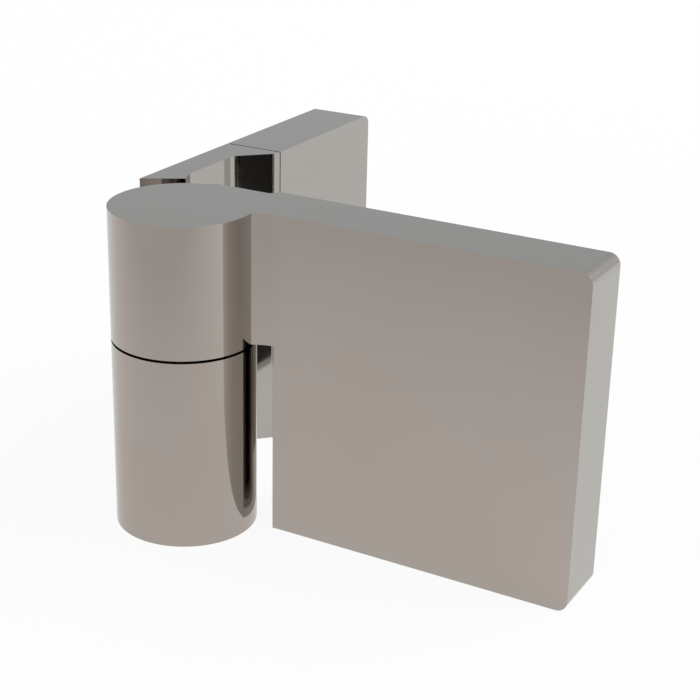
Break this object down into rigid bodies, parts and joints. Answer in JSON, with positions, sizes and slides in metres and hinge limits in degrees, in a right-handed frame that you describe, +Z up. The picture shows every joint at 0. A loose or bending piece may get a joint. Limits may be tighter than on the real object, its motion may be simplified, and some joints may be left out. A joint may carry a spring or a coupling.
{
  "type": "shower door hinge",
  "caption": "Wall-to-glass shower door hinge: split round barrel, flat glass plate, ramped wall leaf with a screw cover, and hidden helical cams that lift the door as it opens.",
  "frame": {"origin": "On the wall plane, midway between the two wall screws.", "axes": "+Z is up along the hinge axis, -X points into the wall, +Y runs along the wall away from the barrel, and the shut door reaches along +X."},
  "size_m": [0.0897, 0.0872, 0.06],
  "materials": {
    "nickel": "polished warm nickel plating",
    "steel": "plain stainless steel",
    "gasket": "matte black rubber",
    "polymer": "natural white acetal"
  },
  "bodies": {
    "wall": {"wall_leaf": "nickel", "wall_cover": "nickel", "cover_screw": "steel", "bottom_plug": "nickel", "lower_bush": "polymer", "fixed_cam": "polymer", "lower_set_screw": "steel"},
    "pin": {"hinge_pin": "steel", "pin_washer": "steel", "pin_clip": "steel"},
    "door": {"door_leaf": "nickel", "lifting_cam": "polymer", "pin_key": "steel", "upper_set_screws": "steel", "glass_gasket": "gasket", "clamp_discs": "nickel", "clamp_sleeves": "polymer", "clamp_screws": "steel"}
  },
  "joints": [
    {"name": "door_swing", "type": "hinge", "parent": "wall", "child": "pin", "pos_m": [0.0155, -0.055, 0], "axis": [0, 0, -1], "range_deg": [0, 100]},
    {"name": "door_lift", "type": "slide", "parent": "pin", "child": "door", "axis": [0, 0, 1], "range_m": [0, 0.0056]}
  ],
  "couplings": [
    {"joint": "door_lift", "follows": "door_swing", "m_per_rad": 0.0031831}
  ]
}
